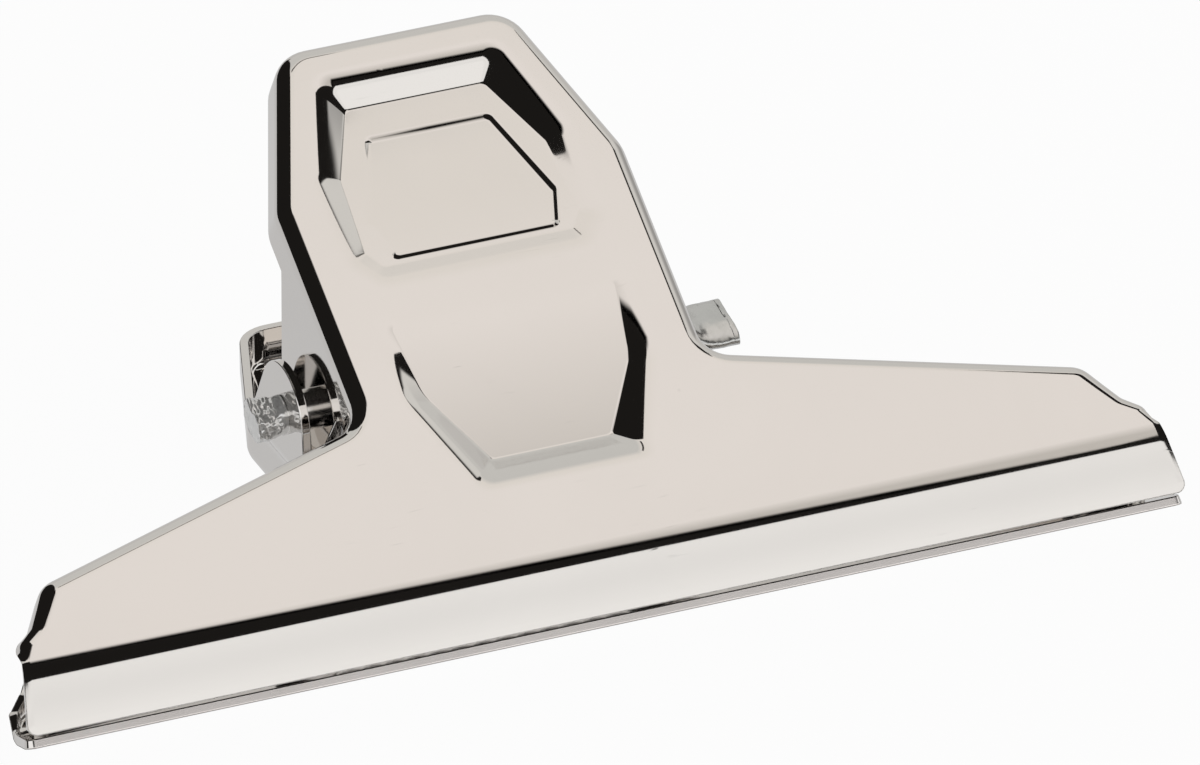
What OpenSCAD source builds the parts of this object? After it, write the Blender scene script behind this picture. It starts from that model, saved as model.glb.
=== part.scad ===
// Bulldog clip for a 120 mm jaw: two pressed steel plates, an axle with
// crushed ends and a torsion spring. The clip lies on its rear plate.
// X runs along the jaw, +Y from the lips to the handles, +Z up from the table.

/* [Sheet] */
// Thickness of the plated sheet steel
sheet = 0.9; // [0.7:0.05:1.1]
// Outside radius of the bend between a face and its rim
bend_r = 1.8; // [1.5:0.1:2.2]
// Depth of the rim round the handle, from the face
rim_depth = 5; // [4:0.1:6]
// Depth of the rim at the outer corner of a wing
wing_rim_depth = 3.4; // [2.6:0.1:4]

/* [Jaw] */
// Width of the jaw
jaw_w = 120; // [100:1:150]
// Length of the flat strip from the bend line to the lip
strip_len = 6.2; // [5.5:0.1:8]
// Angle of the strip to the middle plane of the clip
strip_angle = 40; // [36:1:46]
// Outside radius of the bend between strip and wing
jaw_bend_r = 5; // [3:0.5:5.5]
// How much narrower each end of the strip is at the bend than at the lip
strip_taper = 1.6; // [0.5:0.1:2.5]
// Radius of the corners of the lip
lip_corner_r = 1; // [0.9:0.1:1.5]
// Gap between the two lips when the clip is shut
lip_gap = 0.4; // [0.2:0.05:1]

/* [Wings] */
// Angle of each plate to the middle plane of the clip
face_angle = 16.2; // [14:0.2:18]
// Height of the plain tab at each end of the jaw, above the bend line
tab_h = 3.4; // [3.2:0.1:4]
// Distance of the notch above the tab from the end of the jaw
notch_inset = 3.5; // [3:0.1:4.5]
// Height of the notch above the bend line
notch_h = 5; // [4.8:0.1:5.6]
// Distance of the wing's outer corner from the end of the jaw
wing_inset = 6.2; // [5.5:0.1:8]
// Height of the wing's outer corner above the bend line
wing_h = 9.2; // [8.6:0.1:11]
// Radius of the wing's outer corner
wing_r = 2.8; // [2.4:0.1:3.2]

/* [Handle] */
// Width of the lower, parallel part of the handle
handle_w = 36.2; // [34:0.2:40]
// Width of the handle at its top
top_w = 24.1; // [20:0.1:28]
// Height where the wings meet the handle, above the bend line
junction_h = 18.95; // [18:0.05:20]
// Height where the handle starts to narrow
kink_h = 42.8; // [42:0.1:45]
// Height of the top of the handle
plate_h = 60.1; // [58:0.1:66]
// Radius of the corners at the top
top_r = 4; // [3:0.1:5]
// Radius of the sides where the handle starts to narrow
kink_r = 5; // [4:0.5:8]
// Radius of the fillet between wing and handle
junction_r = 3; // [2:0.1:3.2]

/* [Recesses] */
// Flat margin between a recess and the side of the handle
recess_margin = 4.1; // [3.8:0.1:5]
// Flat margin beside the upper part of the thumb recess
upper_margin = 3.1; // [3:0.1:4]
// Flat margin above the thumb recess
thumb_top_margin = 3.2; // [3:0.1:5]
// Height of the lower edge of the thumb recess
thumb_low_h = 32; // [31.8:0.1:33.5]
// Depth of the thumb recess at its top
thumb_depth = 2.2; // [1.8:0.1:2.6]
// Height of the lower edge of the lower recess
panel_low_h = 8.3; // [8:0.1:9.5]
// Height at which the lower recess runs out
panel_top_h = 30.2; // [28:0.1:30.4]
// Half width of the lower recess at its lower edge
panel_low_half_w = 9.3; // [8:0.1:10]
// Depth of the lower recess at its lower edge
panel_depth = 2.3; // [1.5:0.1:2.6]
// Depth at which the thumb recess runs out
shallow_depth = 0.3; // [0.2:0.05:0.6]
// Step of the thumb pad below the floor of its recess, at the pad's top
pad_step = 0.3; // [0.2:0.05:0.35]

/* [Ears and axle] */
// Diameter of the axle
axle_d = 4; // [3.5:0.1:4.6]
// Radial clearance of the axle in its holes
axle_clearance = 0.05; // [0.02:0.01:0.1]
// Height of the axle above the lips, along the middle plane
axle_h = 35.4; // [34.5:0.1:36]
// Radius of the round end of each ear
ear_r = 5.3; // [4.8:0.1:5.6]
// Gap between the inner and the outer ear
ear_gap = 1.2; // [0.8:0.1:1.6]
// Reach of the axle past the left outer ear
left_stub = 3.3; // [3:0.1:5]
// Reach of the axle past the right outer ear
right_stub = 6.4; // [4:0.1:8]
// Width of the left crushed end
left_crush_w = 5.4; // [4.6:0.1:6]
// Width of the right crushed end
right_crush_w = 6.4; // [5:0.1:7]
// Thickness of the crushed ends
crush_t = 2.2; // [1.6:0.1:2.8]

/* [Spring] */
// Diameter of the spring wire
wire_d = 1.8; // [1.4:0.1:1.9]
// Whole turns of the coil
turns = 13; // [10:1:13]
// Radial clearance between the axle and the coil
coil_clearance = 0.45; // [0.35:0.05:0.8]
// Clearance between the last coil and the inner ear
coil_end_gap = 1; // [0.8:0.1:1.4]
// Height at which the legs press on the handles
leg_h = 40; // [38:0.5:41]
// Clearance between a leg's tip and the handle
leg_gap = 0.25; // [0.15:0.05:0.4]

/* [Hidden] */
nickel = [0.80, 0.78, 0.75];
zinc = [0.70, 0.71, 0.71];
spring_steel = [0.45, 0.45, 0.46];

// Steps of the facets
corner_steps = 4;
rim_steps = 3;
flange_levels = 3;
jaw_steps = 4;
ear_steps = 8;
wall_steps = 3;
crush_fn = 32;
round_fn = 48;

// The strip is bent about the bend line, where the outer planes of strip and
// face would meet. Below the bend, rise is counted along the sheet.
jaw_turn = strip_angle - face_angle;
jaw_run = jaw_bend_r * tan(jaw_turn / 2);
jaw_arc = jaw_bend_r * jaw_turn * PI / 180;
lip_rise = jaw_run - jaw_arc - (strip_len - jaw_run);
lip_y = lip_gap / 2 + sheet * cos(strip_angle);
line_y = -lip_y - strip_len * sin(strip_angle);
line_z = strip_len * cos(strip_angle);

// The axle's place as seen from a face: height along it and depth behind it
axle_rise = line_y * sin(face_angle) + (axle_h - line_z) * cos(face_angle);
axle_depth = -line_y * cos(face_angle) + (axle_h - line_z) * sin(face_angle);

// The turned edges, each as [turn, length round the bend, flange past the bend]
rim_edge = [90, bend_r * PI / 2, rim_depth - bend_r];
wing_edge = [90, bend_r * PI / 2, wing_rim_depth - bend_r];
tab_r = 1.7;
tab_edge = [72, 1.6, 0.7];
notch_edge = [84, 2.2, 1.2];
notch_r = 1.5;
strip_edge = [12, 0.5, 0.35];

// The ears' feet on the rim, from the fillet and from the kink, and the
// depths between which the outer ears step out
ear_foot_low = 0.4;
ear_foot_top = 3.8;
joggle_start = rim_depth - 0.2;
joggle_end = axle_depth - axle_d;

half_jaw = jaw_w / 2;
half_handle = handle_w / 2;
half_top = top_w / 2;

function unit(v) = v / norm(v);
function reversed(list) = [for (i = [len(list) - 1 : -1 : 0]) list[i]];
function smooth(w) = let (c = max(0, min(1, w))) c * c * (3 - 2 * c);

// Rounded corner c = [x, rise, radius, turned edge...] of a chain that has its
// inside on the left. Each point carries its outward normal and turned edge.
function corner(a, c, b) =
    let (
        u = unit([c.x - a.x, c.y - a.y]),
        v = unit([b.x - c.x, b.y - c.y]),
        side = u.x * v.y - u.y * v.x > 0 ? 1 : -1,
        turn = acos(u * v),
        outward = [u.y, -u.x],
        centre = [c.x, c.y] - u * c.z * tan(turn / 2) - side * c.z * outward
    )
    [for (k = [0 : corner_steps])
        let (
            t = side * turn * k / corner_steps,
            m = [outward.x * cos(t) - outward.y * sin(t),
                 outward.x * sin(t) + outward.y * cos(t)]
        )
        concat(centre + side * c.z * m, m, c[3])];

// Rounded corners of a chain, without its two ends
function corners(chain) =
    [for (i = [1 : len(chain) - 2]) each corner(chain[i - 1], chain[i], chain[i + 1])];

function mirrored(p) = concat([-p[0], p[1], -p[2]], [for (i = [3 : 1 : len(p) - 1]) p[i]]);

// Points of the strip's end where the jaw bend runs, level on both sides
function strip_x(rise) = half_jaw - strip_taper * (rise - lip_rise) / (tab_h - lip_rise);
jaw_points = [for (j = [jaw_steps : -1 : 0])
    let (rise = jaw_run - jaw_arc * j / jaw_steps)
    concat([strip_x(rise), rise, 1, 0], strip_edge)];

// Outline of an ear in height and depth: two straight flanks and a round end
ear_low = [junction_h + junction_r + ear_foot_low, rim_depth];
ear_top = [kink_h - ear_foot_top, rim_depth];
function flank_angle(foot, side) =
    let (d = foot - [axle_rise, axle_depth])
    atan2(d.y, d.x) + side * acos(ear_r / norm(d));
ear_from = flank_angle(ear_low, -1) + 360;
ear_to = flank_angle(ear_top, 1);
function ear_round(angle) = [axle_rise, axle_depth] + ear_r * [cos(angle), sin(angle)];
flank_shares = [0, 0.3, 0.65];
ear_profile = concat(
    [for (w = flank_shares) ear_low + w * (ear_round(ear_from) - ear_low)],
    [for (k = [0 : ear_steps]) ear_round(ear_from + (ear_to - ear_from) * k / ear_steps)],
    [for (w = reversed(flank_shares)) ear_top + w * (ear_round(ear_to) - ear_top)]);
ear_points = [for (e = ear_profile)
    [half_handle, e.x, 1, 0, 90, bend_r * PI / 2, e.y - bend_r]];

lip = [half_jaw, lip_rise, lip_corner_r, strip_edge];
tab = [half_jaw - strip_taper, tab_h, tab_r, tab_edge];
notch = [half_jaw - notch_inset, notch_h, notch_r, notch_edge];
wing = [half_jaw - wing_inset, wing_h, wing_r, wing_edge];
junction = [half_handle, junction_h, junction_r, rim_edge];
kink = [half_handle, kink_h, kink_r, rim_edge];
top = [half_top, plate_h, top_r, rim_edge];
lip_points = corners([mirrored(lip), lip, tab]);
wing_points = corners([lip, tab, notch, wing, junction, kink]);
handle_points = corners([junction, kink, top, mirrored(top)]);

right_points = concat(lip_points, jaw_points, wing_points, ear_points, handle_points);
outline = concat(right_points, [concat([0, plate_h, 0, 1], rim_edge)],
                 [for (p = reversed(right_points)) mirrored(p)]);
half_count = len(right_points);
count = len(outline);
strip_top = len(lip_points) + len(jaw_points) - 1;
levels = rim_steps + flange_levels;
level_shares = [0.33, 0.75];

// Half width of the handle at a height
function handle_half(rise) =
    rise < kink_h ? half_handle
    : half_handle + (half_top - half_handle) * (rise - kink_h) / (plate_h - kink_h);

// A recess is a chain of corners on the right, from its foot to its top. Its
// outline is closed, with a point on the middle line at the foot and the top.
function whole(chain) =
    concat([mirrored(chain[0])], chain, [mirrored(chain[len(chain) - 1])]);
function closed(chain) =
    let (right = corners(whole(chain)))
    concat([[0, chain[0].y, 0, -1]], right, [[0, chain[len(chain) - 1].y, 0, 1]],
           [for (p = reversed(right)) mirrored(p)]);

// A recess floor is a slope, given as [height and depth at its shallow end,
// height and depth at its deep end]
floor_corner_r = 0.6;
function floor_depth(floor, rise) =
    floor[1] + (floor[3] - floor[1]) * (rise - floor[0]) / (floor[2] - floor[0]);

// Corners of a recess's floor, which lie a wall's run in from those of its
// chain. The run is foot where the wall ends, and longer where it is deeper.
function floor_chain(chain, floor, foot, depth_share) =
    let (all = whole(chain))
    [for (i = [1 : len(chain)])
        let (
            a = all[i - 1], c = all[i], b = all[i + 1],
            u = unit([c.x - a.x, c.y - a.y]),
            v = unit([b.x - c.x, b.y - c.y]),
            run = foot + depth_share * max(0, floor_depth(floor, c.y)),
            mitre = run / (1 + u * v)
        )
        [c.x - (u.y + v.y) * mitre, c.y + (u.x + v.x) * mitre,
         max(floor_corner_r, c.z - run), []]];

// Thumb recess, its pad, and the lower recess
thumb_top_h = plate_h - thumb_top_margin;
thumb_foot_share = 0.8;
thumb_side_rise = 3.6;
thumb_corner_r = [3, 3.2, 5, 2.4];
thumb_wall_foot = 2.7;
thumb_wall_share = 0.65;
thumb_kink_h = kink_h
    + (recess_margin - upper_margin) * (plate_h - kink_h) / (half_handle - half_top);
thumb_chain = [
    [thumb_foot_share * (half_handle - recess_margin), thumb_low_h, thumb_corner_r[0], []],
    [half_handle - recess_margin, thumb_low_h + thumb_side_rise, thumb_corner_r[1], []],
    [half_handle - recess_margin, thumb_kink_h, thumb_corner_r[2], []],
    [handle_half(thumb_top_h) - upper_margin, thumb_top_h, thumb_corner_r[3], []]];
thumb_slope = [thumb_low_h, shallow_depth, thumb_top_h, thumb_depth];
thumb_outline = closed(thumb_chain);
thumb_floor = closed(
    floor_chain(thumb_chain, thumb_slope, thumb_wall_foot, thumb_wall_share));

pad_corner_r = 1.2;
pad_inset = 0.4;
pad_low_step = 0.1;
pad_half_shares = [0.44, 0.56, 0.35];
pad_rise_shares = [0.125, 0.3, 0.71];
pad_h = [for (share = pad_rise_shares) thumb_low_h + share * (thumb_top_h - thumb_low_h)];
pad_outline = closed([for (i = [0 : 2])
    [pad_half_shares[i] * half_handle, pad_h[i], pad_corner_r, []]]);

panel_side_h = 20;
panel_side_inset = 0.4;
panel_corner_r = [1.9, 8, 2.6];
panel_wall_foot = 2;
panel_wall_share = 1.15;
panel_chain = [
    [panel_low_half_w, panel_low_h, panel_corner_r[0], []],
    [half_handle - recess_margin - panel_side_inset, panel_side_h, panel_corner_r[1], []],
    [half_handle - recess_margin - panel_side_inset, panel_top_h, panel_corner_r[2], []]];
panel_slope = [panel_top_h - panel_wall_foot, 0, panel_low_h, panel_depth];
panel_outline = closed(panel_chain);
panel_floor = closed(
    floor_chain(panel_chain, panel_slope, panel_wall_foot, panel_wall_share));

// Point of a turned edge at a level, as [x, rise, depth]. Level 0 is where the
// bend leaves the face. back is the thickness behind the outer skin, and
// joggle the set of the ears to the side.
function edge_point(p, level, back, joggle) =
    let (
        turn = p[4], flange = p[6],
        r = p[5] * 180 / PI / turn,
        a = turn * min(1, level / rim_steps),
        reach = r * sin(turn) + flange * cos(turn),
        first = min(flange * level_shares[0], joggle_start - bend_r),
        second = min(flange * level_shares[1], joggle_end - bend_r),
        past = level <= rim_steps ? 0 : [first, second, flange][level - rim_steps - 1],
        inset = reach - r * sin(a) - past * cos(turn) + back * sin(a),
        depth = r * (1 - cos(a)) + past * sin(turn) + back * cos(a),
        set = joggle * smooth((depth - joggle_start) / (joggle_end - joggle_start))
    )
    [p[0] - p[2] * (inset - set), p[1] - p[3] * inset, depth];

// Point of a recess wall, w of the way from the face at p to the floor at foot
function wall_point(p, foot, w, slope, back) =
    let (
        way = [foot[0] - p[0], foot[1] - p[1]],
        full = floor_depth(slope, foot[1]),
        lean = atan(full * PI / 2 * sin(180 * w) / norm(way)),
        at = [p[0], p[1]] + way * w - unit(way) * back * sin(lean)
    )
    [at.x, at.y, full * (1 - cos(180 * w)) / 2 + back * cos(lean)];
function recess_rings(outline, foot, slope, back) =
    [for (k = [0 : wall_steps]) for (i = [0 : len(outline) - 1])
        wall_point(outline[i], foot[i], k / wall_steps, slope, back)];

// Point of the thumb pad's step, w of the way along it. The pad is steeper than
// its floor: it stands above it at the foot and lies below it at the top.
function pad_point(p, w, back) =
    let (
        rise = p[1] - p[3] * pad_inset * w,
        up = (rise - pad_h[0]) / (pad_h[2] - pad_h[0]),
        step = (pad_step + pad_low_step) * up - pad_low_step
    )
    [p[0] - p[2] * pad_inset * w, rise, floor_depth(thumb_slope, rise) + step * w + back];

// From [x, rise, depth] to the front plate's place about the middle plane,
// with the jaw bent: y from the middle plane, z up from the lips
function bent(p) =
    let (
        below = max(0, jaw_run - p.y),
        a = min(jaw_turn, below / jaw_bend_r * 180 / PI),
        straight = max(0, below - jaw_arc),
        rise = below == 0 ? p.y
            : jaw_run - (jaw_bend_r - p.z) * sin(a) - straight * cos(a),
        depth = below == 0 ? p.z
            : jaw_bend_r - (jaw_bend_r - p.z) * cos(a) + straight * sin(a)
    )
    [p.x,
     line_y + depth * cos(face_angle) - rise * sin(face_angle),
     line_z + rise * cos(face_angle) + depth * sin(face_angle)];

// One skin of a plate, before the jaw is bent: the rim's levels, both recesses'
// walls and the pad's step
function skin(back, joggle) = concat(
    [for (k = [0 : levels]) for (p = outline) edge_point(p, k, back, joggle)],
    recess_rings(thumb_outline, thumb_floor, thumb_slope, back),
    [for (k = [0 : 1]) for (p = pad_outline) pad_point(p, k, back)],
    recess_rings(panel_outline, panel_floor, panel_slope, back));

thumb_n = len(thumb_outline);
pad_n = len(pad_outline);
panel_n = len(panel_outline);
thumb_at = (levels + 1) * count;
pad_at = thumb_at + (wall_steps + 1) * thumb_n;
panel_at = pad_at + 2 * pad_n;
skin_size = panel_at + (wall_steps + 1) * panel_n;

// Right and left side of a closed outline of n points, each from foot to top
function right_side(at, n) = [for (i = [0 : n / 2]) at + i];
function left_side(at, n) = [for (i = [n : -1 : n / 2]) at + i % n];

// Walls between the rings of an outline of n points, seen from the front
function ring_walls(at, n, steps) =
    [for (k = [0 : steps - 1]) for (i = [0 : n - 1])
        let (j = (i + 1) % n, a = at + k * n, b = a + n)
        each [[a + i, b + j, a + j], [a + i, b + i, b + j]]];

// Triangles between a chain of indices going up on the right and one going up
// on the left, of a skin with the given points. The left chain's second point
// comes first and its last point last, so its level foot and top are met.
function zipped(points, right, left, i = 0, j = 0) =
    let (
        more_right = i < len(right) - 1, more_left = j < len(left) - 1,
        left_next = j == 0 || !more_right
            || (j < len(left) - 2 && points[left[j + 1]].y < points[right[i + 1]].y)
    )
    !more_right && !more_left ? []
    : more_left && left_next
        ? concat([[left[j], right[i], left[j + 1]]], zipped(points, right, left, i, j + 1))
        : concat([[left[j], right[i], right[i + 1]]], zipped(points, right, left, i + 1, j));

flat_points = skin(0, 0);

// Floor inside a ring. It starts within a corner, so that no triangle of a fan
// from its first or last point lies flat along a side.
function floor_face(at, n) = [for (i = [3 : n + 2]) at + i % n];

// Faces of a skin. Each turns left as seen from the front. The face is zipped
// to the recesses on each side, with the bridge between them at an ear point.
bridge = max([for (i = [strip_top : half_count]) if (outline[i][1] < thumb_low_h) i]);
thumb_last = thumb_at + wall_steps * thumb_n;
panel_last = panel_at + wall_steps * panel_n;
function chain_on(side, from, to) =
    [for (i = [from : to]) side > 0 ? i : count - 1 - i];
function recess_side(side, at, n) = side > 0 ? right_side(at, n) : left_side(at, n);
function half_faces(side) = concat(
    zipped(flat_points, chain_on(side, strip_top, bridge),
           recess_side(side, panel_at, panel_n)),
    zipped(flat_points, chain_on(side, bridge, half_count),
           recess_side(side, thumb_at, thumb_n)),
    [[panel_at + panel_n / 2, chain_on(side, bridge, bridge)[0], thumb_at]],
    zipped(flat_points, recess_side(side, thumb_last, thumb_n),
           recess_side(side, pad_at, pad_n)));
skin_faces = concat(
    ring_walls(0, count, levels),
    [for (i = [0 : strip_top - 1]) [i, i + 1, count - 2 - i, count - 1 - i]],
    [[strip_top, panel_at, count - 1 - strip_top]],
    half_faces(1),
    [for (f = half_faces(-1)) reversed(f)],
    [for (f = concat(
        ring_walls(thumb_at, thumb_n, wall_steps),
        ring_walls(panel_at, panel_n, wall_steps),
        ring_walls(pad_at, pad_n, 1))) reversed(f)],
    [floor_face(pad_at + pad_n, pad_n), floor_face(panel_last, panel_n)]);
free_edge = [for (i = [0 : count - 1])
    let (j = (i + 1) % count, a = levels * count, b = a + skin_size)
    each [[a + i, a + j, b + j], [a + i, b + j, b + i]]];

// A pressed plate in the front plate's place, before the clip is laid down
module plate(joggle) {
    difference() {
        polyhedron(
            points = [for (p = concat(skin(0, joggle), skin(sheet, joggle))) bent(p)],
            faces = concat(
                [for (f = skin_faces) reversed(f)],
                [for (f = skin_faces) [for (i = f) i + skin_size]],
                free_edge));
        translate([-half_jaw, 0, axle_h])
            rotate([0, 90, 0]) cylinder(r = axle_d / 2 + axle_clearance, h = jaw_w, $fn = round_fn);
    }
}

// The clip is laid on the face of its rear plate, and its box is centred along
// Y, between the front lip and the top of the rear handle.
function folded(rise, depth) = [
    line_y + depth * cos(face_angle) - rise * sin(face_angle),
    line_z + rise * cos(face_angle) + depth * sin(face_angle)];
low_y = -lip_y * sin(face_angle);
high_y = plate_h - line_y * sin(face_angle) + line_z * cos(face_angle);
bed_z = -line_y * cos(face_angle) - line_z * sin(face_angle);

module lying() {
    translate([0, -(low_y + high_y) / 2, bed_z])
        rotate([face_angle - 90, 0, 0]) children();
}

module front_plate() {
    color(nickel) lying() plate(0);
}

module rear_plate() {
    color(nickel) lying() mirror([0, 1, 0]) plate(ear_gap + sheet);
}

// Axle: a plain shaft whose ends are crushed flat so that it can't slip out
outer_ear_x = half_handle + ear_gap + sheet;
crush_start = 0.8;
crush_neck_share = 0.35;
crush_tip = 0.6;

module crushed_end(stub, w) {
    fan = stub - crush_start;
    for (part = [[0, crush_neck_share, axle_d, axle_d, w, (axle_d + crush_t) / 2],
                 [crush_neck_share, 1, w, (axle_d + crush_t) / 2, w, crush_t]])
        hull() {
            translate([crush_start + fan * part[0], 0, 0]) oval(part[2], part[3]);
            translate([crush_start + fan * part[1] - crush_tip * part[1], 0, 0])
                oval(part[4], part[5]);
        }
}

module oval(w, t) {
    rotate([0, 90, 0]) linear_extrude(crush_tip) scale([w / axle_d, t / axle_d])
        circle(d = axle_d, $fn = crush_fn);
}

module axle() {
    left_end = outer_ear_x + crush_start;
    color(zinc) lying() translate([0, 0, axle_h]) {
        translate([-left_end, 0, 0]) rotate([0, 90, 0])
            cylinder(d = axle_d, h = 2 * left_end, $fn = round_fn);
        translate([outer_ear_x, 0, 0]) crushed_end(right_stub, right_crush_w);
        mirror([1, 0, 0]) translate([outer_ear_x, 0, 0]) crushed_end(left_stub, left_crush_w);
    }
}

// Torsion spring: a coil round the axle, whose legs press on both handles.
// Angles are taken about the axle from +Y, and the legs leave the coil below.
coil_r = axle_d / 2 + coil_clearance + wire_d / 2;
coil_half = half_handle - sheet - coil_end_gap - wire_d / 2;
leg_tip = folded(leg_h, sheet + leg_gap + wire_d / 2) - [0, axle_h];
leg_angle = atan2(leg_tip.y, leg_tip.x) + acos(coil_r / norm(leg_tip));
coil_sweep = 360 * turns + 2 * (270 - leg_angle);
rings_per_turn = 8;
coil_rings = ceil(coil_sweep / 360 * rings_per_turn);
wire_sides = 6;
leg_shares = [0, 0.5];

coil_path = [for (i = [0 : coil_rings])
    let (a = leg_angle + coil_sweep * i / coil_rings)
    [coil_half * (2 * i / coil_rings - 1), coil_r * cos(a), coil_r * sin(a)]];
front_tip = [-coil_half, leg_tip.x, leg_tip.y];
rear_tip = [coil_half, -leg_tip.x, leg_tip.y];
spring_path = concat(
    [for (w = leg_shares) front_tip + w * (coil_path[0] - front_tip)],
    coil_path,
    [for (w = reversed(leg_shares)) rear_tip + w * (coil_path[coil_rings] - rear_tip)]);
path_last = len(spring_path) - 1;

// Ring of the wire about point i of the path, square to the path there
function wire_ring(i) =
    let (
        t = unit(spring_path[min(i + 1, path_last)] - spring_path[max(i - 1, 0)]),
        u = unit([1, 0, 0] - t.x * t),
        v = cross(t, u)
    )
    [for (k = [0 : wire_sides - 1])
        let (a = 360 * k / wire_sides)
        spring_path[i] + wire_d / 2 * (u * cos(a) + v * sin(a))];

spring_self_gap = min([for (i = [0 : path_last]) for (j = [i + rings_per_turn - 2 : path_last])
    if (j < path_last + 1) norm(spring_path[i] - spring_path[j])]) - wire_d;
echo(spring_self_gap = spring_self_gap);

module torsion_spring() {
    color(spring_steel) lying() translate([0, 0, axle_h])
        polyhedron(
            points = [for (i = [0 : path_last]) each wire_ring(i)],
            faces = concat(
                [for (i = [0 : path_last - 1]) for (k = [0 : wire_sides - 1])
                    let (m = (k + 1) % wire_sides, a = i * wire_sides, b = a + wire_sides)
                    each [[a + k, b + m, a + m], [a + k, b + k, b + m]]],
                [[for (k = [0 : wire_sides - 1]) k],
                 [for (k = [wire_sides - 1 : -1 : 0]) path_last * wire_sides + k]]));
}

front_plate();
rear_plate();
axle();
torsion_spring();
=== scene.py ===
import bpy
import numpy as np
from mathutils import Matrix, Vector
from mathutils.geometry import tessellate_polygon


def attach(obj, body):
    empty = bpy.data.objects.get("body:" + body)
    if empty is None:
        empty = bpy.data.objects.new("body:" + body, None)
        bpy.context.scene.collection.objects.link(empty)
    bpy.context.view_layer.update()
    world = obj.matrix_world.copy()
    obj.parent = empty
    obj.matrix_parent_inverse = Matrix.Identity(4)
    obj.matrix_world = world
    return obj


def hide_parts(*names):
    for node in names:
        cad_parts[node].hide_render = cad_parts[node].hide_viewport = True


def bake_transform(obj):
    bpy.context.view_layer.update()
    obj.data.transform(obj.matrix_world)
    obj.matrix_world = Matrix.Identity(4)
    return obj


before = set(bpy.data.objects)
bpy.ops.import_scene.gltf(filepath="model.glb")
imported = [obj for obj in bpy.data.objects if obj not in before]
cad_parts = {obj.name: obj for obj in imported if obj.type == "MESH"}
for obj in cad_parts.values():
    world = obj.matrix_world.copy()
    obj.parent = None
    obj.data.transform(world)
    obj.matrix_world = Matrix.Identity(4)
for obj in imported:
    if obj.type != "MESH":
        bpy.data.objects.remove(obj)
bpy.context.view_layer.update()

# Lengths are millimetres and angles degrees, but metres and radians in the materials, the
# studio and the meshes
toMetres = 0.001
radians = np.pi / 180
leastLength = 1e-12


def unit(v):
    # each row divided by its own length
    v = np.asarray(v, float)
    return v / np.maximum(np.linalg.norm(v, axis=-1, keepdims=True), leastLength)


def ease(share):
    # three times the share's square less twice its cube, level at 0 and at 1
    share = np.clip(share, 0, 1)
    return share * share * (3 - 2 * share)


def gridFaces(at, rings, count):
    # quads between rings of count points, closed round, from point number at on
    ring, i = np.meshgrid(np.arange(rings - 1), np.arange(count), indexing="ij")
    j = (i + 1) % count
    here, onward = at + ring * count, at + (ring + 1) * count
    return np.stack([here + i, here + j, onward + j, onward + i], -1).reshape(-1, 4)


def bandFaces(here, onward):
    # quads between two rings of point numbers, closed round
    return np.stack([here, np.roll(here, -1), np.roll(onward, -1), onward], 1)


def orient(points, normals, faces):
    # faces turned so that each looks the way its points' normals do: the cross product
    # of two sides, for a quad of both halves, against the sum of the normals
    at = points[faces]
    across = np.cross(at[:, 1] - at[:, 0], at[:, 2] - at[:, 0])
    if faces.shape[1] == 4:
        across += np.cross(at[:, 2] - at[:, 0], at[:, 3] - at[:, 0])
    away = (across * normals[faces].sum(1)).sum(1) <= 0
    faces = faces.copy()
    faces[away] = faces[away][:, ::-1]
    return faces


def makePiece(name, points, faces, normals, body, materials, node, which):
    # faces is a list of arrays, and which has the number of each face's material
    mesh = bpy.data.meshes.new(name)
    mesh.from_pydata((points * toMetres).tolist(), [], [f for group in faces for f in group.tolist()])
    mesh.update()
    mesh.polygons.foreach_set("use_smooth", np.ones(len(mesh.polygons), bool))
    if normals is not None:
        mesh.normals_split_custom_set_from_vertices(normals.tolist())
    for material in materials:
        mesh.materials.append(material)
    mesh.polygons.foreach_set("material_index", which)
    piece = bpy.data.objects.new(name, mesh)
    bpy.context.scene.collection.objects.link(piece)
    if body:
        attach(piece, body)
    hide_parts(node)
    return piece


# Plates: sizes of both, and the heights and depths that follow from them
lay = {"sheet": 0.9, "bendR": 1.8, "rimDepth": 5.0, "wingRimDepth": 3.4, "edgeR": 0.13, "edgeSlant": 0.71,
       "jawW": 120.0, "stripLen": 6.2, "stripAngle": 40.0, "jawBendR": 5.0, "stripCrown": 1.5,
       "stripTaper": 1.6, "lipCornerR": 1.0, "lipGap": 0.4, "lipBand": 0.05,
       "faceAngle": 16.2, "tabH": 3.4, "tabR": 1.7, "notchInset": 3.5, "notchH": 5.0, "notchR": 1.5,
       "wingInset": 6.2, "wingH": 9.2, "wingR": 2.8,
       "handleW": 36.2, "topW": 24.1, "junctionH": 18.95, "kinkH": 42.8, "plateH": 60.1,
       "topR": 4.0, "kinkR": 5.0, "junctionR": 3.0,
       "axleD": 4.0, "axleH": 35.4, "earR": 5.3, "earGap": 1.2, "earFoot": 0.4, "earHead": 3.8,
       "joggleLead": 0.2, "joggleTail": 1.5}
# jawRun is how far the jaw's bend reaches along each of its sides and jawArc the length of
# its arc. lipRise is the lip's place in the flat sheet, lineY and lineZ are the place of
# the corner that the bend rounds, and the axle's rise and depth are seen from there. As
# the clip lies, the face runs from lowY to highY, and bedZ lifts it onto the floor.
faceA = lay["faceAngle"] * radians
stripA = lay["stripAngle"] * radians
jawTurn = stripA - faceA
jawRun = lay["jawBendR"] * np.tan(jawTurn / 2)
jawArc = lay["jawBendR"] * jawTurn
lipRise = jawRun - jawArc - (lay["stripLen"] - jawRun)
lipY = lay["lipGap"] / 2 + lay["sheet"] * np.cos(stripA)
lineY = -lipY - lay["stripLen"] * np.sin(stripA)
lineZ = lay["stripLen"] * np.cos(stripA)
axleRise = lineY * np.sin(faceA) + (lay["axleH"] - lineZ) * np.cos(faceA)
axleDepth = -lineY * np.cos(faceA) + (lay["axleH"] - lineZ) * np.sin(faceA)
lowY = -lipY * np.sin(faceA)
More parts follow.
